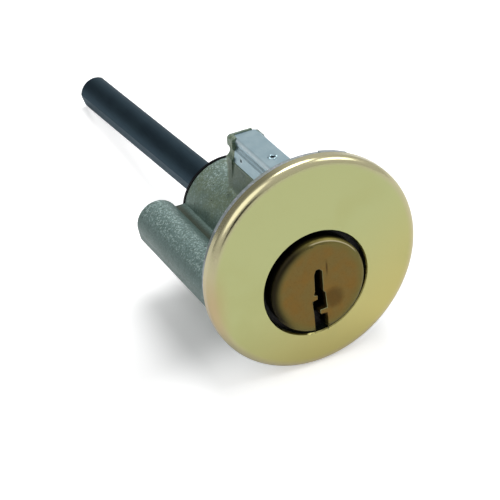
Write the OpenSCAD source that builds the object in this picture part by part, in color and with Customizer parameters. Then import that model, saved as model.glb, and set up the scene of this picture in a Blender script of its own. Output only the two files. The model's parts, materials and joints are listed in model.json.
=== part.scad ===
// Pin tumbler cylinder for a tubular deadbolt, as it sits in a door.
// Millimetres. The plug turns about the Y axis, the keyhole faces -Y and the pin stacks stand up along +Z.
// The origin is on the plug's axis, in the back face of the flange that seats on the door.

/* [Flange and brass face] */
// Outside diameter of the brass face
face_d = 38; // [34:0.5:46]
// Height of the face's centre above the plug's axis
face_rise = 3.4; // [2.8:0.1:4.2]
// Thickness of the brass sheet
face_sheet = 0.6; // [0.4:0.05:0.8]
// Radius of the rounded shoulder round the face
face_round = 1.3; // [0.9:0.1:1.5]
// Depth of the brass skirt over the casting, from the front
skirt_depth = 2.35; // [1.8:0.05:3.2]
// Thickness of the casting's rim that shows behind the skirt
rim_t = 1.25; // [0.8:0.05:2.5]
// Amount that the bare rim is smaller than the brass, on the radius
rim_inset = 0.45; // [0.3:0.05:0.8]
// Diameter of the hole in the brass face
face_hole_d = 18.8; // [18:0.1:20]
// Width of the locating lug on the rim
lug_w = 5.2; // [3:0.1:8]
// Height of the locating lug above the rim
lug_rise = 0.2; // [0.1:0.05:0.3]
// Angle of the locating lug round the flange, from the right
lug_angle = 71; // [50:1:110]

/* [Barrel and posts] */
// Outside diameter of the barrel
barrel_d = 16.6; // [16:0.1:18.6]
// Length of barrel and posts behind the flange
barrel_l = 28.8; // [28:0.2:34]
// Distance between the centres of the two screw posts
post_span = 27.2; // [26:0.2:28]
// Height of the posts' centres above the plug's axis
post_rise = 0.5; // [0:0.1:1]
// Width of each screw post
post_w = 7.7; // [7:0.1:8]
// Depth of a post below its centre
post_foot = 3.4; // [2.8:0.1:4]
// Amount that a post narrows towards its foot, on each side
post_draft = 0.35; // [0.1:0.05:0.6]
// Rounding of the edge of a post's rear end
post_round = 0.5; // [0.2:0.05:0.8]
// Radius of the two lower corners of a post
post_corner = 1.2; // [0.5:0.1:2]
// Diameter of the tapped hole in a post
post_hole_d = 3.5; // [3:0.1:4.2]
// Depth of the tapped hole in a post
post_hole_depth = 20; // [10:1:26]
// Top of the web between barrel and post, above the axis
web_top = 1.9; // [0.4:0.1:2.4]
// Thickness of the web between barrel and post
web_t = 3; // [2:0.1:4]

/* [Pin tower] */
// Height of the shoulder that carries the cover's lower edges
tower_shoulder = 13.3; // [12.6:0.1:13.6]
// Height of the tower's flat top
tower_top = 17; // [16.6:0.1:18]
// Half width of the tower's top, under the cover
tower_top_half = 1.95; // [1.85:0.05:2.1]
// Thickness of the wall behind the last pin
tower_wall = 1.95; // [1.5:0.05:3]
// Amount that the tower widens from its shoulder to its foot, on each side
tower_draft = 0.5; // [0.2:0.05:0.8]
// Half width of the rib that closes the tower at the rear
rib_half = 3.4; // [3.3:0.05:3.7]
// Thickness of the rib
rib_t = 1.9; // [1.5:0.05:2]
// Height of the rib above the tower's top
rib_rise = 0.6; // [0.5:0.05:0.9]
// Thickness of the rib's lip behind the cover's tongue
lip_t = 0.45; // [0.3:0.05:0.6]
// Distance from the middle to the lip's end on the right
lip_end = 1.5; // [1:0.1:1.9]
// Radius of the fillets at the tower's foot
tower_fillet = 1.5; // [0.8:0.1:2]

/* [Pin stacks] */
// Distance between neighbouring pins
pin_pitch = 3.81; // [3.7:0.01:4]
// Distance from the plug's face to the first pin
pin_first = 6.3; // [6.2:0.05:6.6]
// Diameter of the pins
pin_d = 2.92; // [2.8:0.01:3]
// Length of bottom pin 1
pin_length_1 = 5.54; // [4.37:0.01:7.87]
// Length of bottom pin 2
pin_length_2 = 6.71; // [4.37:0.01:7.87]
// Length of bottom pin 3
pin_length_3 = 4.96; // [4.37:0.01:7.87]
// Length of bottom pin 4
pin_length_4 = 7.29; // [4.37:0.01:7.87]
// Length of bottom pin 5
pin_length_5 = 6.13; // [4.37:0.01:7.87]
// Length of a driver pin
driver_l = 4.6; // [4:0.1:5]
// Wire diameter of a driver spring
spring_wire = 0.26; // [0.2:0.02:0.34]
// Outside diameter of a driver spring
spring_d = 2.6; // [2.3:0.05:2.75]
// Number of turns in a driver spring
spring_turns = 9; // [6:1:11]

/* [Plug] */
// Diameter of the plug's body
plug_d = 12.7; // [12.5:0.05:12.9]
// Gap round the plug's head in the face's hole, on the radius
head_gap = 0.9; // [0.8:0.05:1.4]
// Thickness of the plug's head
head_t = 2.9; // [2.6:0.1:3.2]
// Radius of the head's front edge
head_round = 0.8; // [0.4:0.1:1.2]
// Amount that the head stands proud of the brass face
head_proud = 1.2; // [0.9:0.05:1.5]
// Diameter of the plug's stub behind the barrel
stub_d = 10.4; // [10:0.1:11]
// Length of the stub behind the barrel
stub_l = 2.8; // [2.6:0.1:4]
// Height of the keyway's narrow end above the axis
key_top = 3.2; // [2.8:0.1:3.4]
// Width of the keyway's narrow half
key_slim = 1.45; // [1.3:0.05:1.6]
// Width of the keyway's wide half
key_wide = 2.45; // [2.3:0.05:2.6]
// Height at which the keyway widens, below the axis
key_step = 1.3; // [1:0.1:1.6]
// Thickness of the two wards
ward_t = 0.9; // [0.6:0.05:1]
// Distance between the two wards
ward_gap = 1.9; // [1.7:0.1:2.1]
// Depth of the keyway from the plug's face
key_depth = 26; // [25:0.5:27]

/* [Cover over the springs] */
// Thickness of the folded sheet
cover_t = 0.4; // [0.35:0.05:0.45]
// Outward slope of each side, top to bottom
cover_splay = 0.6; // [0.5:0.05:0.7]
// Outer radius of the two folds
cover_fold = 0.5; // [0.45:0.05:0.6]
// Depth of the groove pressed into each side
cover_groove = 0.2; // [0.1:0.02:0.24]
// Diameter of the staking hole in the top
stake_d = 0.8; // [0.6:0.1:1.2]
// Place of the staking hole behind the flange
stake_y = 9.4; // [7:0.1:11]
// Diameter of the staking dimple in each side
dimple_d = 0.6; // [0.4:0.1:0.8]
// Place of the staking dimple behind the flange
dimple_y = 15.8; // [12:0.1:17]
// Depth of the pocket in the flange that takes the cover's front end
cover_seat = 0.4; // [0.3:0.05:0.8]

/* [Retainer and torque blade] */
// Diameter of the retaining disc
retainer_d = 16.8; // [16.6:0.1:18]
// Thickness of the retaining disc
retainer_t = 0.5; // [0.4:0.05:0.7]
// Depth of the groove that holds the retaining disc
retainer_groove = 0.8; // [0.5:0.05:1]
// Diameter of the round bar that the torque blade is made from
blade_d = 6.4; // [6:0.02:6.6]
// Distance from the bar's centre to the blade's flat
blade_flat = 0.37; // [0.35:0.01:0.5]
// Distance from the flange's back face to the far end of the blade
blade_reach = 88.5; // [70:0.5:110]
// Depth of the blade's root inside the plug, from the barrel's end
blade_root = 3.8; // [3:0.1:4.5]
// Droop of the blade in its loose socket
blade_droop = 4.05; // [3.6:0.05:4.3]
// Direction of the blade's round side, from the right towards the top
blade_side = 143.7; // [136:0.1:224]
// Angle from the middle of the blade's round side to the facet ground along it
facet_turn = 52; // [45:1:60]
// Depth of the facet
facet_depth = 0.25; // [0.1:0.05:0.6]
// Free play between blade and plug, in degrees
blade_play = 90; // [70:1:100]
// Depth of the turned groove that holds the blade
blade_neck = 0.77; // [0.74:0.01:0.9]
// Diameter of the cross pin
cross_pin_d = 1.2; // [1:0.05:1.3]

/* [Clearances] */
// Gap between the plug and its bore, on the radius
plug_gap = 0.05; // [0.03:0.01:0.08]
// Gap between a pin and its chamber, on the radius
pin_gap = 0.05; // [0.03:0.01:0.06]
// Gap between a pressed pin and its hole, on the radius
press_gap = 0.02; // [0.01:0.01:0.04]
// Gap between sheet metal pieces and the casting
sheet_gap = 0.05; // [0.03:0.01:0.08]
// Gap between the turning head or disc and the casting
turn_gap = 0.12; // [0.08:0.01:0.2]
// Play round the torque blade in its socket, on the radius
blade_gap = 0.4; // [0.38:0.01:0.45]

/* [Hidden] */
$fn = 96;

// Small overlap that keeps cuts and joins clean
eps = 0.1;

face_r = face_d / 2;
rim_r = face_r - rim_inset;
// The casting under the skirt
core_r = face_r - face_sheet - sheet_gap;
front_y = -rim_t - skirt_depth;
core_y = front_y + face_sheet;
skirt_y = -rim_t - sheet_gap;
face_hole_r = face_hole_d / 2;

barrel_r = barrel_d / 2;
bore_r = plug_d / 2 + plug_gap;
post_x = post_span / 2;
post_r = post_w / 2;

plug_r = plug_d / 2;
head_r = face_hole_r - head_gap;
plug_face_y = front_y - head_proud;
// The head's back face runs just clear of the bottom of its counterbore
head_back_y = plug_face_y + head_t;
counterbore_y = head_back_y + turn_gap;
stub_r = stub_d / 2;
stub_end_y = barrel_l + stub_l;

pin_r = pin_d / 2;
chamber_r = pin_r + pin_gap;
pin_length = [pin_length_1, pin_length_2, pin_length_3, pin_length_4, pin_length_5];
pin_count = len(pin_length);
function pin_y(i) = plug_face_y + pin_first + (i - 1) * pin_pitch;
// The stacks stand split at the shear line, as the right key holds them
pin_crown = 0.3;
shear_low = plug_r - 0.05;
shear_high = bore_r + 0.02;
pin_tip_r = 0.7;
pin_floor = -2.6;
driver_chamfer = 0.25;
driver_top = shear_high + driver_l;
spring_low = driver_top + 0.02;
spring_high = tower_top - 0.02;

tower_end_y = pin_y(pin_count) + chamber_r + tower_wall;
rib_y = tower_end_y - rib_t;
rib_top = tower_top + rib_rise;
cover_end_y = rib_y - sheet_gap;
tongue_end_y = tower_end_y - lip_t - sheet_gap;
cover_low = tower_shoulder + sheet_gap;
cover_in_half = tower_top_half + sheet_gap;
cover_in_top = tower_top + sheet_gap;
tongue_half = cover_in_half - 0.05;
// The tower's sides run on just outside the cover's
tower_half = cover_in_half + cover_splay + cover_t + 0.1;

retainer_r = retainer_d / 2;
retainer_y = barrel_l + turn_gap;
retainer_gap = 0.05;
groove_r = stub_r - retainer_groove;

blade_r = blade_d / 2;
socket_r = blade_r + blade_gap;
blade_root_y = barrel_l - blade_root;
socket_y = blade_root_y - 0.5;
// The blade tips about the middle of its socket
blade_pivot_y = (blade_root_y + stub_end_y) / 2;
blade_end_chamfer = 0.3;
blade_neck_r = blade_r - blade_neck;
cross_pin_r = cross_pin_d / 2;
cross_pin_y = barrel_l + 1.6;
cross_pin_x = blade_r + 0.08;
blade_neck_w = cross_pin_d + 0.8;
cross_pin_half = sqrt(stub_r * stub_r - cross_pin_x * cross_pin_x) - 0.1;
land_angle = 180 - blade_play;

zinc = [0.42, 0.48, 0.45];
brass = [0.74, 0.72, 0.48];
dull_brass = [0.48, 0.39, 0.20];
bright_sheet = [0.62, 0.69, 0.71];
blue_black = [0.12, 0.16, 0.20];
black_steel = [0.06, 0.07, 0.08];
spring_steel = [0.75, 0.75, 0.77];

// A cylinder along Y from y0 to y1
module along_y(r, y0, y1, x = 0, z = 0)
    translate([x, y0, z]) rotate([-90, 0, 0]) cylinder(r = r, h = y1 - y0);

// An outline drawn as x and height, extruded along Y from y0 to y1
module prism_y(y0, y1)
    translate([0, y1, 0]) rotate([90, 0, 0]) linear_extrude(y1 - y0) children();

// An outline drawn as radius and y, turned about an axis along Y
module turned_y(z = 0)
    translate([0, 0, z]) rotate([-90, 0, 0]) rotate_extrude() children();

function reversed(points) = [for (i = [len(points) - 1:-1:0]) points[i]];
function on_left(points) = [for (p = points) [-p[0], p[1]]];

// A copy on the left as well as the right
module both_sides() {
    children();
    mirror([1, 0, 0]) children();
}

// A post's section, drawn smaller by inset all round: a round top that narrows to a flat foot
module post_outline(inset = 0) {
    foot_half = post_r - post_draft - inset;
    foot = post_foot - inset;
    corner = post_corner - inset;
    circle(r = post_r - inset);
    polygon([
        [-post_r + inset, 0], [post_r - inset, 0], [foot_half, corner - foot],
        [foot_half - corner, -foot], [corner - foot_half, -foot], [-foot_half, corner - foot]
    ]);
    for (side = [-1, 1])
        translate([side * (foot_half - corner), corner - foot]) circle(r = corner);
}

// A post with the edge of its rear end rounded over
module post() {
    steps = 4;
    prism_y(-eps, barrel_l - post_round) post_outline();
    hull() for (i = [0:steps]) {
        y = barrel_l - post_round * (1 - sin(90 * i / steps));
        prism_y(y - 0.01, y) post_outline(post_round * (1 - cos(90 * i / steps)), $fn = 32);
    }
}

// The tower from the barrel up to its flat top, with a fillet at its foot and a shoulder for the cover
module tower_outline() {
    steps = 5;
    foot = barrel_r - 1.2;
    // The fillet is a round that touches both the wall and the barrel
    round_x = tower_half + tower_draft + tower_fillet;
    round_z = sqrt(pow(barrel_r + tower_fillet, 2) - round_x * round_x);
    round_turn = atan2(round_z, round_x);
    right = concat(
        [[round_x - tower_fillet, foot], [round_x - tower_fillet * cos(round_turn), foot]],
        [for (i = [steps - 1:-1:0]) let (turn = round_turn * i / steps)
            [round_x - tower_fillet * cos(turn), round_z - tower_fillet * sin(turn)]],
        [[tower_half, tower_shoulder], [tower_top_half + cover_splay, tower_shoulder],
         [tower_top_half, tower_top]]
    );
    polygon(concat(right, reversed(on_left(right))));
}

// The tongue that reaches back from the cover's top, seen from above and grown by gap
function tongue_outline(gap) =
    let (front = tongue_half + 0.15 + gap, rear = tongue_half + gap, end_y = tongue_end_y + gap, corner = 0.25)
    [
        [-front, cover_end_y - eps], [front, cover_end_y - eps], [rear, end_y - corner],
        [rear - corner, end_y], [corner - rear, end_y], [-rear, end_y - corner]
    ];

// Half of the rib's head on the right, with a round corner
module rib_head(top) {
    foot = tower_shoulder;
    half = rib_half - 0.35;
    corner = 0.7;
    translate([-eps, foot]) square([half + eps, top - corner - foot]);
    translate([-eps, foot]) square([half - corner + eps, top - foot]);
    translate([half - corner, top - corner]) circle(r = corner);
}

// The rib is wide below and narrower beside the tongue, with a scooped notch in each side.
// It stands up past the tongue on the left and behind it, and stays below it on the right.
module rib_outline() {
    foot = barrel_r - 1;
    notch_r = 1.15;
    notch_z = tower_shoulder + 1.6;
    difference() {
        union() {
            translate([-rib_half, foot]) square([2 * rib_half, tower_shoulder + 0.9 - foot]);
            mirror([1, 0]) rib_head(rib_top);
            rib_head(tower_top);
            translate([-eps, foot]) square([lip_end + eps, rib_top - foot]);
        }
        for (side = [-1, 1])
            translate([side * (rib_half + 0.4), notch_z]) circle(r = notch_r);
    }
}

// The flange with its locating lug and the pocket that the cover's front end stands in
module flange() {
    low_half = cover_in_half + cover_splay + cover_t + sheet_gap;
    high_half = cover_in_half + cover_t + sheet_gap;
    high = cover_in_top + cover_t + sheet_gap;
    difference() {
        union() {
            along_y(core_r, core_y, -rim_t + eps, z = face_rise);
            along_y(rim_r, -rim_t, 0, z = face_rise);
            intersection() {
                along_y(rim_r + lug_rise, -rim_t, 0, z = face_rise);
                translate([0, 0, face_rise]) rotate([0, -lug_angle, 0])
                    translate([rim_r / 2, -rim_t, -lug_w / 2]) cube([rim_r, rim_t, lug_w]);
            }
        }
        prism_y(-cover_seat, eps) polygon([
            [-low_half, cover_low - sheet_gap], [low_half, cover_low - sheet_gap],
            [high_half, high], [-high_half, high]
        ]);
    }
}

module housing() color(zinc) {
    difference() {
        union() {
            flange();
            along_y(barrel_r, -eps, barrel_l);
            both_sides() {
                translate([post_x, 0, post_rise]) post();
                prism_y(-eps, barrel_l) translate([0, web_top - web_t]) square([post_x, web_t]);
            }
            prism_y(-cover_seat - eps, tower_end_y) tower_outline();
            difference() {
                prism_y(rib_y, tower_end_y) rib_outline();
                translate([0, 0, tower_top]) linear_extrude(2 * rib_rise) polygon(tongue_outline(sheet_gap));
            }
        }
        along_y(bore_r, front_y, barrel_l + eps);
        along_y(face_hole_r, front_y, counterbore_y);
        for (i = [1:pin_count])
            translate([0, pin_y(i), 0]) cylinder(r = chamber_r, h = tower_top + eps);
        both_sides()
            along_y(post_hole_d / 2, barrel_l - post_hole_depth, barrel_l + eps, x = post_x, z = post_rise);
    }
}

// The face is one pressing: flat disc, rounded shoulder and skirt
module trim_face() color(brass) {
    difference() {
        turned_y(face_rise) difference() {
            union() {
                translate([0, front_y]) square([face_r - face_round, face_sheet + eps]);
                translate([face_r - face_round, front_y + face_round])
                    square([face_round, skirt_y - front_y - face_round]);
                translate([face_r - face_round, front_y + face_round]) circle(r = face_round);
            }
            translate([0, core_y]) square([face_r - face_sheet, skirt_depth]);
        }
        along_y(face_hole_r, front_y - eps, 0);
        turned_y() polygon([
            [face_hole_r - eps, front_y - eps], [face_hole_r + 0.2 + eps, front_y - eps],
            [face_hole_r + 0.2, front_y], [face_hole_r, front_y + 0.2], [face_hole_r - eps, front_y + 0.2]
        ]);
    }
}

// The keyway's outline, with a ward from each side
module keyway_outline() {
    slim = key_slim / 2;
    wide = key_wide / 2;
    shift = 0.1;
    left_ward = -key_step - 0.35;
    right_ward = left_ward - ward_gap - ward_t;
    polygon([
        [-slim - shift, key_top - 0.7], [-slim / 2 - shift, key_top], [slim / 3 - shift, key_top],
        [slim - shift, key_top - 0.5],
        [slim - shift, -key_step + 0.15], [wide - 0.25, -key_step - 0.15],
        [wide - 0.05, right_ward], [-0.1, right_ward - 0.1],
        [-0.1, right_ward - ward_t], [wide - 0.1, right_ward - ward_t - 0.1],
        [wide, right_ward - ward_t - 1], [wide, -head_r - 1],
        [-wide + 0.1, -head_r - 1], [-wide, right_ward - 0.8],
        [-wide - 0.2, left_ward - ward_t], [-0.45, left_ward - ward_t + 0.15],
        [-0.45, left_ward], [-wide + 0.15, left_ward + 0.2],
        [-slim - shift - 0.05, -key_step + 0.6]
    ]);
}

// The socket for the torque blade: a bore with a land that stops the blade's flat
module blade_socket() {
    difference() {
        along_y(socket_r, socket_y, stub_end_y + eps);
        prism_y(socket_y - eps, stub_end_y + 2 * eps) intersection() {
            polygon([[0.3, 0], for (side = [-1, 1])
                2 * socket_r * [cos(land_angle / 2), side * sin(land_angle / 2)]]);
            translate([0.8, -socket_r]) square(2 * socket_r);
        }
    }
}

module plug() color(dull_brass) {
    difference() {
        union() {
            turned_y() {
                translate([0, plug_face_y]) square([head_r - head_round, head_t]);
                translate([0, plug_face_y + head_round]) square([head_r, head_t - head_round]);
                intersection() {
                    translate([head_r - head_round, plug_face_y + head_round]) circle(r = head_round);
                    translate([0, plug_face_y]) square([head_r, head_t]);
                }
            }
            along_y(plug_r, head_back_y - eps, barrel_l);
            along_y(stub_r, barrel_l - eps, stub_end_y);
        }
        turned_y() translate([groove_r, retainer_y - retainer_gap])
            square([stub_r, retainer_t + 2 * retainer_gap]);
        prism_y(plug_face_y - eps, plug_face_y + key_depth) keyway_outline();
        for (i = [1:pin_count])
            translate([0, pin_y(i), pin_floor]) cylinder(r = chamber_r, h = plug_d);
        blade_socket();
        translate([-cross_pin_x, cross_pin_y, -stub_r]) cylinder(r = cross_pin_r + press_gap, h = stub_d);
    }
}

// The sheet's outside on the right, from the fold at its top to its lower edge, with the groove pressed in
function cover_outside(half) = concat(
    [for (turn = [0:15:75])
        [half + cover_fold * (sin(turn) - 1), cover_in_top + cover_t + cover_fold * (cos(turn) - 1)]],
    [for (step = [0:4])
        [half + cover_splay * (0.12 + 0.08 * step) - cover_groove * sin(45 * step),
         cover_in_top - 0.5 - 0.3 * step]],
    [[half + cover_splay, cover_low]]
);

module spring_cover() color(bright_sheet) {
    outside = cover_outside(cover_in_half + cover_t);
    inside = [[cover_in_half, cover_in_top], [cover_in_half + cover_splay, cover_low]];
    dimple_z = cover_low + 1.2;
    difference() {
        union() {
            prism_y(sheet_gap - cover_seat, cover_end_y)
                polygon(concat(reversed(outside), on_left(outside), on_left(reversed(inside)), inside));
            translate([0, 0, cover_in_top]) linear_extrude(cover_t) polygon(tongue_outline(0));
        }
        translate([0, stake_y, tower_top]) cylinder(r = stake_d / 2, h = 2);
        translate([-2 * tower_half, dimple_y, dimple_z]) rotate([0, 90, 0])
            cylinder(r = dimple_d / 2, h = 4 * tower_half);
    }
}

// A disc with a slot below, snapped sideways into the groove in the plug's stub
module rear_retainer() color(black_steel) {
    seat_r = groove_r + press_gap;
    throat = 0.85 * seat_r;
    difference() {
        along_y(retainer_r, retainer_y, retainer_y + retainer_t);
        along_y(seat_r, retainer_y - eps, retainer_y + retainer_t + eps);
        prism_y(retainer_y - eps, retainer_y + retainer_t + eps)
            polygon([
                [-throat, 0], [throat, 0], [throat, -retainer_r + 2], [seat_r, -retainer_r - eps],
                [-seat_r, -retainer_r - eps], [-throat, -retainer_r + 2]
            ]);
    }
}

module torque_blade() color(blue_black) {
    root = blade_root_y - blade_pivot_y;
    tip = blade_reach - blade_pivot_y;
    neck = cross_pin_y - blade_pivot_y;
    translate([0, blade_pivot_y, 0]) rotate([-blade_droop, 0, 0]) rotate([0, -blade_side, 0])
        difference() {
            turned_y() polygon([
                [0, root], [blade_r - blade_end_chamfer, root], [blade_r, root + blade_end_chamfer],
                [blade_r, neck - blade_neck_w / 2], [blade_neck_r, neck - blade_neck_w / 2],
                [blade_neck_r, neck + blade_neck_w / 2], [blade_r, neck + blade_neck_w / 2],
                [blade_r, tip - blade_end_chamfer], [blade_r - blade_end_chamfer, tip], [0, tip]
            ]);
            translate([blade_flat - blade_d, root - eps, -blade_d])
                cube([blade_d, tip - root + 2 * eps, 2 * blade_d]);
            rotate([0, -facet_turn, 0]) translate([blade_r - facet_depth, root - eps, -blade_d])
                cube([blade_d, tip - root + 2 * eps, 2 * blade_d]);
        }
}

module cross_pin() color(spring_steel)
    translate([-cross_pin_x, cross_pin_y, -cross_pin_half])
        cylinder(r = cross_pin_r, h = 2 * cross_pin_half);

// A bottom pin: crowned on top, with a blunt cone below
module bottom_pin(i) color(brass) {
    cone_h = pin_r - pin_tip_r;
    translate([0, pin_y(i), shear_low - pin_length[i - 1]]) rotate_extrude() polygon([
        [0, 0], [pin_tip_r, 0], [pin_r, cone_h],
        [pin_r, pin_length[i - 1] - pin_crown], [pin_r - 0.6, pin_length[i - 1]], [0, pin_length[i - 1]]
    ]);
}

module driver_pin(i) color(spring_steel)
    translate([0, pin_y(i), shear_high]) rotate_extrude() polygon([
        [0, 0], [pin_r - driver_chamfer, 0], [pin_r, driver_chamfer],
        [pin_r, driver_l - driver_chamfer], [pin_r - driver_chamfer, driver_l], [0, driver_l]
    ]);

// Share of a spring's height reached at share s of its length: the two end turns lie almost flat
function climb(s, ease, close) = s < ease ? close * s / ease
    : s > 1 - ease ? 1 - close * (1 - s) / ease
    : close + (1 - 2 * close) * (s - ease) / (1 - 2 * ease);

// A driver spring: round wire swept along a helix, its two ends wound flat
module spring(i) color(spring_steel) {
    sides = 6;
    per_turn = 14;
    wire_r = spring_wire / 2;
    coil_r = spring_d / 2 - wire_r;
    rings = spring_turns * per_turn;
    low = spring_low + wire_r;
    high = spring_high - wire_r;
    ease = 1 / spring_turns;
    close = spring_wire / (high - low);
    points = [for (k = [0:rings], j = [0:sides - 1])
        let (a = 360 * k / per_turn, b = 360 * j / sides,
             r = coil_r + wire_r * cos(b),
             z = low + (high - low) * climb(k / rings, ease, close) + wire_r * sin(b))
        [r * cos(a), r * sin(a), z]];
    walls = [for (k = [0:rings - 1], j = [0:sides - 1])
        let (n = (j + 1) % sides)
        [k * sides + j, (k + 1) * sides + j, (k + 1) * sides + n, k * sides + n]];
    ends = [[for (j = [0:sides - 1]) j], [for (j = [sides - 1:-1:0]) rings * sides + j]];
    translate([0, pin_y(i), 0]) polyhedron(points = points, faces = concat(walls, ends));
}

housing();
trim_face();
plug();
spring_cover();
rear_retainer();
torque_blade();
cross_pin();
bottom_pin(1);  // bottom_pin_1
bottom_pin(2);  // bottom_pin_2
bottom_pin(3);  // bottom_pin_3
bottom_pin(4);  // bottom_pin_4
bottom_pin(5);  // bottom_pin_5
driver_pin(1);  // driver_pin_1
driver_pin(2);  // driver_pin_2
driver_pin(3);  // driver_pin_3
driver_pin(4);  // driver_pin_4
driver_pin(5);  // driver_pin_5
spring(1);  // spring_1
spring(2);  // spring_2
spring(3);  // spring_3
spring(4);  // spring_4
spring(5);  // spring_5
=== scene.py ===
# %% [markdown]
# A deadbolt cylinder in Blender.
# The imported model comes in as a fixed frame: each rigid piece is a mesh in its true place, in metres.
# The plug's axis is Y, the keyhole faces -Y and the pins stand up along +Z.
# This script gives the pieces their finishes, adds what only shows up close, and sets floor, lights and camera.

# %% Load the frame
import json
from math import atan2, cos, degrees, hypot, pi, radians, sin

import bmesh
import bpy
from mathutils import Matrix, Vector

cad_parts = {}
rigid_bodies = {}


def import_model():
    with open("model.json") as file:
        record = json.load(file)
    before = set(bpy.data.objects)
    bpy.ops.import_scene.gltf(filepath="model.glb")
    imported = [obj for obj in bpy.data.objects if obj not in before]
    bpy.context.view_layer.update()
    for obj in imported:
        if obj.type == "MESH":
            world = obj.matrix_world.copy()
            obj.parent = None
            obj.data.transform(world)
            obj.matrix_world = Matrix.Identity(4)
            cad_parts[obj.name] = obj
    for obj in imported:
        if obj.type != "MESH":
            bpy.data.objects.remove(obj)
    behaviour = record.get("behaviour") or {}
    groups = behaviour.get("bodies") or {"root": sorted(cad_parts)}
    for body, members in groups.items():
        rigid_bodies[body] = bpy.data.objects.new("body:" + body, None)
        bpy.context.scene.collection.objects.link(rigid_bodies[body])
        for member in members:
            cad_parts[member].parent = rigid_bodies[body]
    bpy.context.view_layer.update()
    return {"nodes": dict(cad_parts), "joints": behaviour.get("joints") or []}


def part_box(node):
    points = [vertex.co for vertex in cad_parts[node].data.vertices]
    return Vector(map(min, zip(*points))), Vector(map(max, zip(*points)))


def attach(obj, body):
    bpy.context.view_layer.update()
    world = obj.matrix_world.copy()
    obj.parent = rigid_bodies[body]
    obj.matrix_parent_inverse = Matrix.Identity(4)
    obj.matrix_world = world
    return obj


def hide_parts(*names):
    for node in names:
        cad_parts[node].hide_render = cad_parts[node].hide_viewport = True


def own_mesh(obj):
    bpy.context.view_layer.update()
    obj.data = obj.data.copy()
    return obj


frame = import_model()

nodes = frame["nodes"]
MM = 0.001

# %% [markdown]
# The camera comes first, because every finish is judged through it.
# Its place was worked out from the photo: the brass face and its hole are circles, so their ellipses give the
# tilt, and the long edges of the casting run to one vanishing point.
# A long lens of 151 mm from 34 cm away keeps the perspective as mild as it is in the photo.

# %% Camera
CAMERA_PLACE = Vector((-0.12858, -0.26057, 0.18148))
CAMERA_TURN = 24.531  # degrees that the view turns from +Y towards +X
CAMERA_DIP = 31.243  # degrees that it looks down
CAMERA_ROLL = -4.575  # degrees that the picture leans
LENS = 150.66
SENSOR = 36


def camera_rotation(turn, dip, roll):
    """The turn of a camera that looks along +Y, turned to the right, dipped and then rolled about its view."""
    level = Matrix.Rotation(radians(90 - dip), 3, "X")
    turned = Matrix.Rotation(radians(-turn), 3, "Z") @ level
    return (turned @ Matrix.Rotation(radians(roll), 3, "Z")).to_euler()


camera_data = bpy.data.cameras.new("view")
camera_data.lens = LENS
camera_data.sensor_width = SENSOR
camera_data.clip_start = 0.01
camera = bpy.data.objects.new("camera", camera_data)
camera.location = CAMERA_PLACE
camera.rotation_euler = camera_rotation(CAMERA_TURN, CAMERA_DIP, CAMERA_ROLL)
bpy.context.scene.collection.objects.link(camera)
bpy.context.scene.camera = camera
print("camera turned", [round(degrees(a), 2) for a in camera.rotation_euler])

# %% [markdown]
# Shader maths reads best as plain sums.
# A small class wraps a node's output, so that mask * 0.5 + noise adds the Math nodes by itself.
# A second class holds one material and has a single method that adds any other node.

# %% Shader helpers


class Value:
    """A number that a shader works out: the operators add Math nodes to its material."""

    def __init__(self, paint, socket):
        self.paint = paint
        self.socket = socket

    def math(self, operation, first, second):
        return self.paint.add("ShaderNodeMath", {"operation": operation}, {0: first, 1: second})

    def __add__(self, other):
        return self.math("ADD", self, other)

    def __sub__(self, other):
        return self.math("SUBTRACT", self, other)

    def __rsub__(self, other):
        return self.math("SUBTRACT", other, self)

    def __mul__(self, other):
        return self.math("MULTIPLY", self, other)

    __radd__ = __add__
    __rmul__ = __mul__

    def above(self, low, high):
        """0 below low, 1 above high and a smooth step between."""
        return self.paint.add("ShaderNodeMapRange", {"interpolation_type": "SMOOTHSTEP", "clamp": True},
                              {"Value": self, "From Min": low, "From Max": high}, "Result")

    def below(self, low, high):
        """1 below low, 0 above high and a smooth step between."""
        return 1 - self.above(low, high)

    def near(self, middle, reach):
        """1 at middle and 0 further than reach from it."""
        return self.above(middle - reach, middle) * self.below(middle, middle + reach)

    def size(self):
        return self.math("ABSOLUTE", self, 0)

    def clamp(self):
        return self.paint.add("ShaderNodeClamp", {}, {"Value": self})


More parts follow.
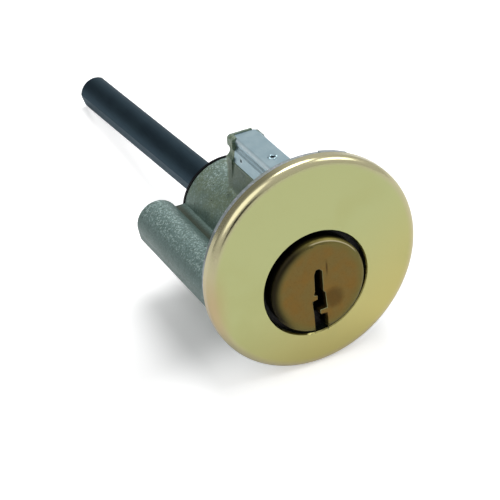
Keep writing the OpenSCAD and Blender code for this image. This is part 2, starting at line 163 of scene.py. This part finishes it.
class Paint:
    """One procedural material. It reads Object coordinates, in metres, so patterns have real sizes."""

    def __init__(self, name):
        self.material = bpy.data.materials.new(name)
        self.material.use_nodes = True
        self.tree = self.material.node_tree
        self.shader = self.tree.nodes["Principled BSDF"]
        self.place = self.add("ShaderNodeTexCoord", {}, {}, "Object")
        self.x, self.y, self.z = self.split(self.place)

    def add(self, kind, settings, inputs, output=0):
        """Adds a node: its settings are set first, then its sockets get numbers, colours or links."""
        node = self.tree.nodes.new(kind)
        for name, setting in settings.items():
            setattr(node, name, setting)
        for name, given in inputs.items():
            self.feed(node.inputs[name], given)
        return Value(self, node.outputs[output])

    def feed(self, socket, given):
        if isinstance(given, Value):
            self.tree.links.new(given.socket, socket)
        elif socket.type == "RGBA":
            socket.default_value = (*given, 1)
        else:
            socket.default_value = given

    def set(self, **sockets):
        """Sets the shader's own sockets: base_color means Base Color."""
        for name, given in sockets.items():
            label = name.replace("_", " ").title().replace("Ior", "IOR")
            self.feed(self.shader.inputs[label], given)

    def split(self, vector):
        return [self.add("ShaderNodeSeparateXYZ", {}, {0: vector}, axis) for axis in "XYZ"]

    def scaled(self, size, stretch, seed):
        """The place in units of size, pulled out along stretch and moved by seed."""
        return self.add("ShaderNodeMapping", {}, {
            "Vector": self.place,
            "Location": (seed, seed * 0.7, -seed),
            "Scale": tuple(1 / (size * s) for s in stretch),
        })

    def noise(self, size, detail=3, rough=0.55, stretch=(1, 1, 1), seed=0):
        """Cloudy noise from 0 to 1, whose patches are about size metres across, pulled out along stretch."""
        return self.add("ShaderNodeTexNoise", {}, {
            "Vector": self.scaled(size, stretch, seed), "Scale": 1, "Detail": detail, "Roughness": rough,
        })

    def grains(self, size, seed=0):
        """Crystals about size metres across, each with its own number from 0 to 1."""
        color = self.add("ShaderNodeTexVoronoi", {}, {"Vector": self.scaled(size, (1, 1, 1), seed), "Scale": 1},
                         "Color")
        return self.split(color)[0]

    def from_axis(self, x=0, z=0):
        """Squared distance to an axis that runs along Y through x and z."""
        return (self.x - x) * (self.x - x) + (self.z - z) * (self.z - z)

    def mix(self, share, first, second):
        """A colour between first and second."""
        settings = {"data_type": "RGBA", "clamp_factor": True}
        return self.add("ShaderNodeMix", settings, {0: share, 6: first, 7: second}, 2)

    def bump(self, height, depth, edge=0):
        """Relief from a height between 0 and 1, depth metres from low to high. Edges look rounded by edge metres."""
        inputs = {"Height": height, "Strength": 1, "Distance": depth}
        if edge:
            inputs["Normal"] = self.add("ShaderNodeBevel", {"samples": 6}, {"Radius": edge})
        self.set(normal=self.add("ShaderNodeBump", {}, inputs))


def srgb(red, green, blue):
    """A colour as a paint program gives it, from 0 to 255, in the linear light that shaders use."""
    def linear(c):
        c = c / 255
        return c / 12.92 if c <= 0.04045 else ((c + 0.055) / 1.055) ** 2.4
    return (linear(red), linear(green), linear(blue))


# %% [markdown]
# The brass face is a polished pressing under a worn satin lacquer.
# It is metal with a low roughness, so its flat front mirrors the white floor and its rounded shoulder picks up
# lamps and dark corners. A drift from green-yellow to a warmer tone towards the lower right is a painted
# reflection of the floor close to the object, and a brown band on the lower left of the rim is a painted
# reflection too. Faint clouds and fine hairlines keep it from looking like plastic.

# %% Satin brass
FACE_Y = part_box("trim_face")[0][1]
FACE_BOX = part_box("trim_face")
FACE_RADIUS = (FACE_BOX[1][0] - FACE_BOX[0][0]) / 2
FACE_MIDDLE_Z = (FACE_BOX[0][2] + FACE_BOX[1][2]) / 2
print("face front at y", round(FACE_Y / MM, 2), "mm, middle at z", round(FACE_MIDDLE_Z / MM, 2), "mm")


def satin_brass():
    paint = Paint("satin_brass")
    cloud = paint.noise(8 * MM, detail=4, seed=1)
    hairline = paint.noise(0.1 * MM, detail=2, stretch=(25, 1, 1.5), seed=3)
    stain = paint.noise(2.2 * MM, detail=5, rough=0.65, seed=12)
    # Painted reflection: the face turns warmer towards the lower right, as if it mirrored the floor near the object.
    warm_reflection_lower_right = (paint.x * 0.45 - (paint.z - FACE_MIDDLE_Z) * 0.9).above(-4 * MM, 19 * MM)
    color = paint.mix(warm_reflection_lower_right, srgb(174, 178, 126), srgb(184, 174, 112))
    color = paint.mix(cloud.above(0.5, 0.75) * 0.35, color, srgb(168, 168, 112))
    color = paint.mix(stain.above(0.66, 0.78) * 0.3, color, srgb(146, 138, 86))
    wear_and_painted_highlight = paint.from_axis(0, FACE_MIDDLE_Z).above((17.3 * MM) ** 2, (18.5 * MM) ** 2)
    color = paint.mix(wear_and_painted_highlight * (0.45 + stain * 0.3), color, srgb(190, 178, 152))
    # Painted reflection: a brown band on the lower left of the rim, standing in for the shaded floor it would mirror.
    brown_reflection_lower_left = (0 - paint.x).above(15 * MM, 18.6 * MM) * paint.z.below(1 * MM, 10 * MM) * 0.6
    color = paint.mix(brown_reflection_lower_left, color, srgb(178, 150, 112))
    paint.set(base_color=color, metallic=1, roughness=0.17 + cloud * 0.07 + hairline * 0.04)
    paint.bump(hairline, 0.0015 * MM)
    return paint.material


# %% [markdown]
# The plug is turned from solid brass and was never polished again.
# Fingers and keys have tarnished it brown and its rounded edge stays olive. The depth of the keyway and of
# the gap round the head is painted black as shade, the upper left of the rounded edge is painted dark as shade,
# and a painted highlight runs along its top; the keyway's rim is lighter, partly from wear and partly as a
# painted highlight. One key scratch and a stain beside the keyway are placed one by one.

# %% Worn brass of the plug
PLUG_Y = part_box("plug")[0][1]
SCRATCH_X = 1.46 * MM
SCRATCH_Z = 3.1 * MM
SCRATCH_LENGTH = 2.1 * MM
STAIN_X = 2.5 * MM
STAIN_Z = -2.9 * MM
STAIN_RADIUS = 2.3 * MM
DEEP_Y = 20 * MM  # past the chambers the painted shade stops


def worn_brass():
    paint = Paint("worn_brass")
    cloud = paint.noise(3 * MM, detail=4, seed=5)
    fine = paint.noise(0.3 * MM, detail=4, rough=0.7, seed=9)
    turned = paint.from_axis()
    color = paint.mix(cloud.above(0.35, 0.65), srgb(122, 94, 44), srgb(116, 98, 52))
    color = paint.mix(fine.above(0.45, 0.75) * 0.4, color, srgb(98, 76, 34))
    olive = turned.above((6.2 * MM) ** 2, (8 * MM) ** 2) * 0.75
    color = paint.mix(olive, color, srgb(106, 102, 56))
    # Painted shade: the upper left of the head's rounded edge is painted dark.
    painted_shade_upper_left_edge = turned.above((6.6 * MM) ** 2, (8.3 * MM) ** 2) * (paint.z * 0.25 - paint.x).above(2 * MM, 6.5 * MM)
    color = paint.mix(painted_shade_upper_left_edge * 0.95, color, srgb(22, 17, 9))
    # Painted highlight: a pale band along the top of the head's rounded edge.
    wear_and_painted_highlight = turned.near((8.15 * MM) ** 2, (1.5 * MM) ** 2) * (paint.z + paint.x * 0.45).above(7.2 * MM, 7.9 * MM)
    color = paint.mix(wear_and_painted_highlight * 0.8, color, srgb(196, 186, 150))
    ragged = paint.from_axis(STAIN_X, STAIN_Z) + (cloud - 0.5) * STAIN_RADIUS ** 2
    stain = ragged.below((0.4 * STAIN_RADIUS) ** 2, STAIN_RADIUS ** 2) * 0.6
    color = paint.mix(stain, color, srgb(74, 52, 18))
    scratch = paint.x.near(SCRATCH_X, 0.3 * MM) * paint.z.near(SCRATCH_Z, SCRATCH_LENGTH)
    color = paint.mix(scratch * 0.75, color, srgb(52, 36, 14))
    # The keyway's rim is lighter: partly wear from keys, partly a painted highlight on its edge.
    keyway_rim_wear_and_highlight = paint.y.above(PLUG_Y + 0.01 * MM, PLUG_Y + 0.04 * MM) * turned.below((5 * MM) ** 2, (5.5 * MM) ** 2)
    color = paint.mix(keyway_rim_wear_and_highlight * paint.y.below(PLUG_Y + 0.1 * MM, PLUG_Y + 0.2 * MM), color, srgb(150, 152, 112))
    # Painted shade: the keyway and the gap round the head go black with depth, up to the chambers.
    painted_shade_in_depth = paint.y.above(PLUG_Y + 0.5 * MM, PLUG_Y + 1.6 * MM) * paint.y.below(DEEP_Y, DEEP_Y + 4 * MM)
    color = paint.mix(painted_shade_in_depth * 0.96, color, srgb(8, 8, 9))
    paint.set(base_color=color, metallic=0.9, roughness=0.34 + cloud * 0.1 + fine * 0.1)
    paint.bump(fine - scratch * 2, 0.008 * MM)
    return paint.material


# %% [markdown]
# The body is a zinc die casting that was tumbled and plated thinly.
# Such a skin is never even: it goes from blue-grey to olive, has darker blotches, bright crystals and small
# dark pits. Each of these is one layer here, from a large noise down to single grains. Light and shade are
# painted in as well: a highlight with bright grains on the post crowns and the barrel's top, darker outer
# flanks on the posts, and painted shade in the groove beside each post, on the tower wall under the cover and
# in the gap round the plug.

# %% Zinc casting
HOLE_RADIUS = 9.4 * MM
POST_X = 13.6 * MM
POST_Z = 0.5 * MM
BARREL_TOP = 8.3 * MM
COVER_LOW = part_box("spring_cover")[0][2]
RIB_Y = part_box("spring_cover")[1][1]
print("cover reaches down to z", round(COVER_LOW / MM, 2), "mm and back to y", round(RIB_Y / MM, 2), "mm")


def zinc_casting():
    paint = Paint("zinc_casting")
    cloud = paint.noise(7 * MM, detail=4, seed=2)
    blotch = paint.noise(1.3 * MM, detail=5, rough=0.65, seed=7)
    skin = paint.noise(0.35 * MM, detail=4, rough=0.7, seed=11)
    crystal = paint.grains(0.22 * MM, seed=4)
    bright = crystal.above(0.86, 0.94)
    pit = paint.noise(0.8 * MM, detail=2, seed=21).below(0.24, 0.29)
    barrel = (paint.x * paint.x).below((7 * MM) ** 2, (9 * MM) ** 2)
    color = paint.mix(barrel * (0.35 + cloud.above(0.4, 0.62) * 0.65), srgb(98, 121, 117), srgb(110, 125, 100))
    color = paint.mix(blotch.above(0.48, 0.7) * 0.55, color, srgb(74, 94, 86))
    color = paint.mix(skin.above(0.5, 0.72) * 0.65, color, srgb(148, 172, 167))
    color = paint.mix(skin.below(0.3, 0.46) * 0.5, color, srgb(66, 84, 76))
    color = paint.mix(bright * blotch.below(0.4, 0.6) * 0.3, color, srgb(178, 200, 196))
    out = paint.x.size() - POST_X
    post = paint.y.above(2.4 * MM, 3.4 * MM) * (1 - barrel)
    # Painted highlight: the post crowns and the barrel's top towards the rear get lighter skin and bright grains.
    painted_highlight_crown = (out * 0.3 + (paint.z - POST_Z) * 0.95).above(2.6 * MM, 3.6 * MM) * post
    painted_highlight_crown = painted_highlight_crown + barrel * paint.z.above(5 * MM, 7.5 * MM) * paint.y.above(17 * MM, 26 * MM)
    color = paint.mix(painted_highlight_crown * skin.above(0.42, 0.6) * 0.5, color, srgb(132, 156, 152))
    color = paint.mix(painted_highlight_crown * crystal.above(0.76, 0.88) * 0.55, color, srgb(190, 210, 206))
    # Painted shade: the outer flanks of the posts are painted darker.
    painted_shade_flank = out.above(0.6 * MM, 2.6 * MM) * (post - painted_highlight_crown).clamp()
    color = paint.mix(painted_shade_flank * 0.5, color, srgb(62, 84, 80))
    # Painted shade: the crease where each post meets the barrel is painted dark.
    painted_shade_groove = (out + 4 * MM).near(0, 1.6 * MM) * paint.z.below(2.6 * MM, 4.2 * MM)
    color = paint.mix(painted_shade_groove * 0.95, color, srgb(42, 52, 34))
    rim = paint.y.below(-0.05 * MM, 0) * paint.from_axis(0, FACE_MIDDLE_Z).above((17 * MM) ** 2, (18 * MM) ** 2)
    color = paint.mix(rim * (0.4 + bright * 0.5), color, srgb(186, 186, 196))
    # Painted shade: the tower wall under the cover, in front of the rib, is painted darker.
    painted_shade_under_cover = paint.z.above(BARREL_TOP - 0.6 * MM, BARREL_TOP + 0.8 * MM) * paint.z.below(COVER_LOW - 0.3 * MM, COVER_LOW)
    color = paint.mix(painted_shade_under_cover * paint.y.below(RIB_Y - 0.2 * MM, RIB_Y + 0.2 * MM) * 0.5, color, srgb(48, 62, 50))
    color = paint.mix(pit, color, srgb(16, 22, 18))
    # Painted shade: the casting seen inside the hole round the plug is painted near black.
    painted_shade_gap = paint.from_axis().below((HOLE_RADIUS - 0.05 * MM) ** 2, (HOLE_RADIUS + 0.1 * MM) ** 2)
    color = paint.mix(painted_shade_gap * paint.y.below(-0.5 * MM, -0.2 * MM), color, srgb(5, 4, 8))
    paint.set(base_color=color, metallic=0.5, roughness=0.34 + blotch * 0.16)
    paint.bump(blotch * 0.8 + skin * 0.6 + crystal * 0.5 - pit * 1.5, 0.05 * MM, edge=0.2 * MM)
    return paint.material


# %% [markdown]
# The cover over the springs is thin sheet, zinc plated to a cool blue-grey satin.
# The rolls left a fine grain along it, and round each small dimple the tool rubbed the plating bright.
# A painted highlight lies along the fold between top and side, and the groove in the side is painted darker as
# shade.

# %% Bright sheet of the cover
DIMPLE_Y = 15.8 * MM
DIMPLE_Z = 14.55 * MM
COVER_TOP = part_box("spring_cover")[1][2]


def bright_sheet():
    paint = Paint("bright_sheet")
    cloud = paint.noise(2.5 * MM, detail=4, seed=6)
    grain = paint.noise(0.1 * MM, detail=2, stretch=(1, 25, 1), seed=8)
    color = paint.mix(cloud.above(0.35, 0.7), srgb(146, 170, 179), srgb(158, 179, 186))
    color = paint.mix(grain.above(0.5, 0.8) * 0.25, color, srgb(128, 148, 156))
    aside_y = paint.y - DIMPLE_Y
    aside_z = paint.z - DIMPLE_Z
    wear_and_painted_highlight = (aside_y * aside_y + aside_z * aside_z).below((0.35 * MM) ** 2, (0.6 * MM) ** 2)
    color = paint.mix(wear_and_painted_highlight * 0.35, color, srgb(196, 210, 214))
    side = paint.x.size().above(1.95 * MM, 2.15 * MM)
    # Painted highlight: a pale band along the fold between top and side, also rougher and less metallic there.
    painted_highlight_fold = side * paint.z.near(COVER_TOP - 0.3 * MM, 0.45 * MM)
    color = paint.mix(painted_highlight_fold * 0.8, color, srgb(206, 222, 228))
    # Painted shade: the groove in the side below the fold is painted darker.
    painted_shade_groove = side * paint.z.near(COVER_TOP - 1.4 * MM, 0.55 * MM)
    color = paint.mix(painted_shade_groove * 0.6, color, srgb(92, 114, 124))
    paint.set(base_color=color, metallic=0.9 - painted_highlight_fold * 0.6, roughness=0.3 + cloud * 0.12 + painted_highlight_fold * 0.15)
    paint.bump(grain, 0.002 * MM)
    return paint.material


# %% [markdown]
# The torque blade and the retaining disc are blackened steel: a thin dark oxide that shines only where it mirrors
# something bright. So their colour is nearly black metal, and the sheen comes from the lights.

# %% Blackened steel
STEEL_SHEEN = srgb(214, 224, 230)  # tint of the sheen at a flat angle

def blued_steel():
    paint = Paint("blued_steel")
    cloud = paint.noise(5 * MM, detail=4, seed=1)
    drawn = paint.noise(0.25 * MM, detail=3, stretch=(1, 30, 1), seed=15)
    color = paint.mix(cloud.above(0.35, 0.7), srgb(38, 52, 62), srgb(43, 58, 67))
    color = paint.mix(drawn.above(0.5, 0.8) * 0.35, color, srgb(20, 30, 38))
    paint.set(base_color=color, metallic=1, roughness=0.34 + cloud * 0.1 + drawn * 0.06,
              specular_tint=STEEL_SHEEN)
    paint.bump(drawn, 0.003 * MM)
    return paint.material


def black_steel():
    paint = Paint("black_steel")
    cloud = paint.noise(1.5 * MM, detail=4, seed=4)
    paint.set(base_color=paint.mix(cloud, srgb(12, 14, 18), srgb(24, 26, 30)), metallic=1, roughness=0.4 + cloud * 0.15)
    return paint.material


def bright_steel():
    paint = Paint("bright_steel")
    cloud = paint.noise(1.5 * MM, detail=3, seed=4)
    paint.set(base_color=paint.mix(cloud, srgb(176, 178, 182), srgb(200, 202, 204)), metallic=1,
              roughness=0.22 + cloud * 0.12)
    return paint.material


# %% Give each node its finish


def finish(piece, material):
    if not piece.material_slots:
        piece.data.materials.append(material)
    for slot in piece.material_slots:
        slot.material = material


STEEL = bright_steel()
BRASS = satin_brass()
ZINC = zinc_casting()
SHEET = bright_sheet()
finish(nodes["trim_face"], BRASS)
finish(nodes["plug"], worn_brass())
finish(nodes["housing"], ZINC)
finish(nodes["spring_cover"], SHEET)
finish(nodes["torque_blade"], blued_steel())
finish(nodes["rear_retainer"], black_steel())
finish(nodes["cross_pin"], STEEL)
for number in range(1, 6):
    finish(nodes[f"bottom_pin_{number}"], BRASS)
    finish(nodes[f"driver_pin_{number}"], STEEL)
    finish(nodes[f"spring_{number}"], STEEL)

# %% [markdown]
# No real edge is perfectly sharp: cast edges are rounded by the mould, and the keyway's rim is worn by keys.
# Those roundings are what catches the light up close, so the plug gets a softened copy, and the casting's edges are
# rounded in its shader by a Bevel node.
# A copy is merged first, because a imported mesh is loose triangles, then flat areas are dissolved into whole
# faces, and then a bevel rounds the edges that matter. The copy stands for the imported piece everywhere.

# %% Softened copies
MERGE = 0.001 * MM
FLAT = radians(0.5)


def select_edges(piece, wanted):
    """Selects the edges of a piece in edit mode that answer wanted."""
    bpy.ops.mesh.select_all(action="DESELECT")
    form = bmesh.from_edit_mesh(piece.data)
    for edge in form.edges:
        if wanted(edge):
            edge.select = True
    bmesh.update_edit_mesh(piece.data)
    print(piece.name, "edges selected:", sum(edge.select for edge in form.edges))


def merged_copy(node, name):
    """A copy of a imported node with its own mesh, whose loose triangles are merged. It is left in edit mode."""
    piece = nodes[node].copy()
    piece.data = nodes[node].data.copy()
    piece.name = name
    bpy.context.scene.collection.objects.link(piece)
    bpy.ops.object.select_all(action="DESELECT")
    piece.select_set(True)
    bpy.context.view_layer.objects.active = piece
    bpy.ops.object.mode_set(mode="EDIT")
    bpy.ops.mesh.select_all(action="SELECT")
    bpy.ops.mesh.remove_doubles(threshold=MERGE)
    return piece


def softened(node, name, wanted, width):
    """A copy of a node whose wanted edges are rounded with two facets, width metres wide."""
    piece = merged_copy(node, name)
    bpy.ops.mesh.dissolve_limited(angle_limit=FLAT)
    select_edges(piece, wanted)
    bpy.ops.mesh.bevel(offset=width, segments=2, clamp_overlap=False)
    bpy.ops.object.mode_set(mode="OBJECT")
    bpy.ops.object.shade_smooth_by_angle(angle=radians(50))
    flatter = piece.modifiers.new("flat faces stay flat", "WEIGHTED_NORMAL")
    flatter.keep_sharp = True
    bpy.ops.object.modifier_apply(modifier=flatter.name)
    return piece


def key_rim(edge):
    """True for the edges of the keyway's mouth, in the plug's face."""
    return all(abs(point.co.y - PLUG_Y) < 0.01 * MM and abs(point.co.x) < 2 * MM for point in edge.verts)


worn_plug = softened("plug", "plug_worn", key_rim, 0.12 * MM)
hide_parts("plug")
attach(worn_plug, "plug")

# %% [markdown]
# The driver springs get shorter when a driver pin lifts, and a rigid mesh can't show that.
# The frame says for each lift which spring it deforms and which end stays put. A merged copy of each spring
# stands for the imported one and rides on the lift's parent body; it keeps its rest length.

# %% Spring copies
for joint in frame["joints"]:
    for soft in joint.get("deforming_nodes", []):
        coil = merged_copy(soft["node"], soft["node"] + "_coil")
        bpy.ops.object.mode_set(mode="OBJECT")
        bpy.ops.object.shade_smooth()
        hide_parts(soft["node"])
        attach(coil, joint["parent"])
        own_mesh(coil)

# %% [markdown]
# The cover is held by staking: a punch pushes a small hole into its top and throws up a burr of bright metal.
# On the real cover the burr is a ring of four lobes. A torus is a good start for such a ring: it is flattened,
# and the four stretches between the lobes are pushed down in edit mode.

# %% Burr round the staking hole
STAKE_Y = 9.4 * MM
STAKE_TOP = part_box("spring_cover")[1][2]
BURR_RADIUS = 0.66 * MM
BURR_THICK = 0.24 * MM


def select_points(piece, wanted):
    """Selects the points of a piece in edit mode whose place answers wanted."""
    bpy.ops.mesh.select_all(action="DESELECT")
    form = bmesh.from_edit_mesh(piece.data)
    for point in form.verts:
        point.select = wanted(point.co)
    form.select_flush(True)
    bmesh.update_edit_mesh(piece.data)


def between_lobes(place):
    """True for points more than 26 degrees away from the four lobes."""
    angle = degrees(atan2(place.y, place.x)) % 90
    return 26 < angle < 64


def into_mesh(piece):
    """Moves a piece's place into its mesh, so that its object sits at the origin."""
    bpy.ops.object.select_all(action="DESELECT")
    piece.select_set(True)
    bpy.context.view_layer.objects.active = piece
    bpy.ops.object.transform_apply(location=True, rotation=True, scale=True)


bpy.ops.object.select_all(action="DESELECT")
bpy.ops.mesh.primitive_torus_add(major_segments=40, minor_segments=12, major_radius=BURR_RADIUS,
                                 minor_radius=BURR_THICK)
burr = bpy.context.object
burr.name = "stake_burr"
bpy.ops.object.mode_set(mode="EDIT")
select_points(burr, between_lobes)
bpy.ops.transform.resize(value=(0.9, 0.9, 0.45))
bpy.ops.mesh.select_all(action="SELECT")
bpy.ops.transform.resize(value=(1, 1, 0.6))
bpy.ops.object.mode_set(mode="OBJECT")
burr.location = (0, STAKE_Y, STAKE_TOP + 0.01 * MM)
into_mesh(burr)
bpy.ops.object.shade_smooth()
finish(burr, SHEET)
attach(burr, "housing")

# %% [markdown]
# The two screw posts are tapped for the long screws from the inside plate, a number 8 thread of 0.79 mm pitch.
# A thread is a small profile that is turned and moved at once, which is what the Screw modifier does.
# The profile is a diamond whose outer half is buried in the wall of the hole.

# %% Threads in the posts
POST_END_Y = 28.8 * MM
HOLE_IN_POST = 1.75 * MM
THREAD_PITCH = 0.79 * MM
THREAD_HALF = 0.34 * MM
THREAD_TURNS = 14


def thread(name, x):
    """A helical ridge round the wall of one tapped hole."""
    bpy.ops.object.select_all(action="DESELECT")
    bpy.ops.mesh.primitive_circle_add(vertices=4, radius=THREAD_HALF, fill_type="NOTHING",
                                      location=(HOLE_IN_POST, 0, 0), rotation=(pi / 2, 0, 0))
    piece = bpy.context.object
    piece.name = name
    into_mesh(piece)
    turns = piece.modifiers.new("turns", "SCREW")
    turns.axis = "Z"
    turns.angle = radians(360)
    turns.screw_offset = THREAD_PITCH
    turns.iterations = THREAD_TURNS
    turns.steps = turns.render_steps = 28
    turns.use_merge_vertices = False
    bpy.ops.object.modifier_apply(modifier=turns.name)
    bpy.ops.object.mode_set(mode="EDIT")
    select_edges(piece, lambda edge: edge.is_boundary)
    bpy.ops.mesh.edge_face_add()
    bpy.ops.mesh.select_all(action="SELECT")
    bpy.ops.mesh.normals_make_consistent(inside=False)
    bpy.ops.object.mode_set(mode="OBJECT")
    piece.rotation_euler = (pi / 2, 0, 0)
    piece.location = (x, POST_END_Y - 0.5 * THREAD_PITCH, POST_Z)
    into_mesh(piece)
    bpy.ops.object.shade_smooth_by_angle(angle=radians(30))
    finish(piece, ZINC)
    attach(piece, "housing")
    print(name, "has", len(piece.data.polygons), "faces")


thread("post_thread_left", -POST_X)
thread("post_thread_right", POST_X)

# %% [markdown]
# The cylinder lies as it would on a table: on the lowest point of the brass face and the tip of the blade.
# The floor is a plane through those two points, so it leans a few degrees against the frame.
# Its shader is a matt white that keeps the shadows. It is lifted a little for rays that show a background, and
# more so far from the object, where the lamps don't reach. For the camera the lift is painted light and shade:
# it drops near the object, which deepens the contact shadow, and rises in front and beyond a few centimetres,
# which fades the cast shadow there.

# %% Floor
FLOOR_GAP = 0.05 * MM
FLOOR_LIFT = 0.16
FAR_LIFT = 0.76
BEYOND_LIFT = 0.35
CONTACT_DROP = 0.05
blade_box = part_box("torque_blade")
front_point = Vector((0, FACE_BOX[1][1], FACE_BOX[0][2] - FLOOR_GAP))
rear_point = Vector((0, blade_box[1][1], blade_box[0][2] - FLOOR_GAP))
floor_lean = atan2(rear_point.z - front_point.z, rear_point.y - front_point.y)

bpy.ops.object.select_all(action="DESELECT")
bpy.ops.mesh.primitive_plane_add(size=6, location=front_point, rotation=(floor_lean, 0, 0))
floor = bpy.context.object
floor.name = "floor"
print("floor leans", round(degrees(floor_lean), 2), "degrees")


def seen(paint, name):
    """1 for rays of one kind, such as those from the camera."""
    return paint.add("ShaderNodeLightPath", {}, {}, f"Is {name} Ray")


floor_paint = Paint("pale_floor")
background = (seen(floor_paint, "Camera") + seen(floor_paint, "Glossy") + seen(floor_paint, "Transmission")).clamp()
away = floor_paint.x * floor_paint.x + floor_paint.y * floor_paint.y
lift = background * (FLOOR_LIFT + away.above(0.15 ** 2, 0.6 ** 2) * (FAR_LIFT - FLOOR_LIFT))
# Painted light and shade for the camera: the glow rises in front and further out, over the cast shadow, and drops near
# the object.
in_front = (floor_paint.x * 0.3 - floor_paint.y).above(-18 * MM, -6 * MM)
glow_over_shadow = (in_front + away.above((22 * MM) ** 2, (40 * MM) ** 2)).clamp()
lift = lift + seen(floor_paint, "Camera") * (glow_over_shadow * BEYOND_LIFT - CONTACT_DROP)
floor_paint.set(base_color=(0.98, 0.98, 0.98), roughness=0.9, specular_ior_level=0,
                emission_color=floor_paint.mix(lift, (0, 0, 0), (1, 1, 1)), emission_strength=1)
finish(floor, floor_paint.material)

# %% [markdown]
# The light is a white tent with two soft boxes, one high on the left and one high on the right.
# The tent is the world: pure white for the camera, and for metal a pale room that is dimmer behind the object
# and has one dark corner in front, which draws the thin dark line along the brass shoulder.

# %% World
TENT_LIGHT = 0.22
TENT_FRONT = 0.8
TENT_BACK_LEFT = 0.32
TENT_BACK_RIGHT = 0.8
CORNER = Vector((-0.28, -0.95, 0.13)).normalized()
CORNER_EDGE = cos(radians(19))
CORNER_CORE = cos(radians(11))


class Sky(Paint):
    """The world's shader, built with the same helpers as a material."""

    def __init__(self, world):
        self.tree = world.node_tree
        self.shader = self.tree.nodes["Background"]
        self.place = self.add("ShaderNodeTexCoord", {}, {}, "Generated")
        self.x, self.y, self.z = self.split(self.place)


world = bpy.data.worlds.new("tent")
bpy.context.scene.world = world
world.use_nodes = True
sky = Sky(world)
towards_corner = sky.x * CORNER.x + sky.y * CORNER.y + sky.z * CORNER.z
back = TENT_BACK_LEFT + (TENT_BACK_RIGHT - TENT_BACK_LEFT) * sky.x.above(-0.15, 0.38)
tent = TENT_FRONT + (back - TENT_FRONT) * sky.y.above(0, 0.8)
tent = tent * (1 - towards_corner.above(CORNER_EDGE, CORNER_CORE))
shown = (seen(sky, "Camera") + seen(sky, "Transmission")).clamp()
mirrored = seen(sky, "Glossy")
strength = shown + mirrored * tent + (1 - shown - mirrored) * TENT_LIGHT
sky.set(color=(1, 1, 1), strength=strength)

# %% Soft boxes


def soft_box(name, direction, distance, size, radiance):
    """A round lamp that looks at the object. Its power follows from how bright its surface is."""
    data = bpy.data.lights.new(name, "AREA")
    data.shape = "DISK"
    data.size = size
    data.energy = radiance * pi * (pi * size ** 2 / 4)
    made = bpy.data.objects.new(name, data)
    made.location = Vector(direction).normalized() * distance
    made.rotation_euler = (-made.location).to_track_quat("-Z", "Y").to_euler()
    bpy.context.scene.collection.objects.link(made)


soft_box("left_box", (-0.62, -0.25, 0.74), 0.5, 0.5, 1.3)
soft_box("right_box", (0.7, -0.22, 0.68), 0.5, 0.26, 3.6)
soft_box("top_box", (0.2, 0.25, 1), 0.55, 0.3, 6.6)

# %% View transform
bpy.context.scene.view_settings.view_transform = "Standard"
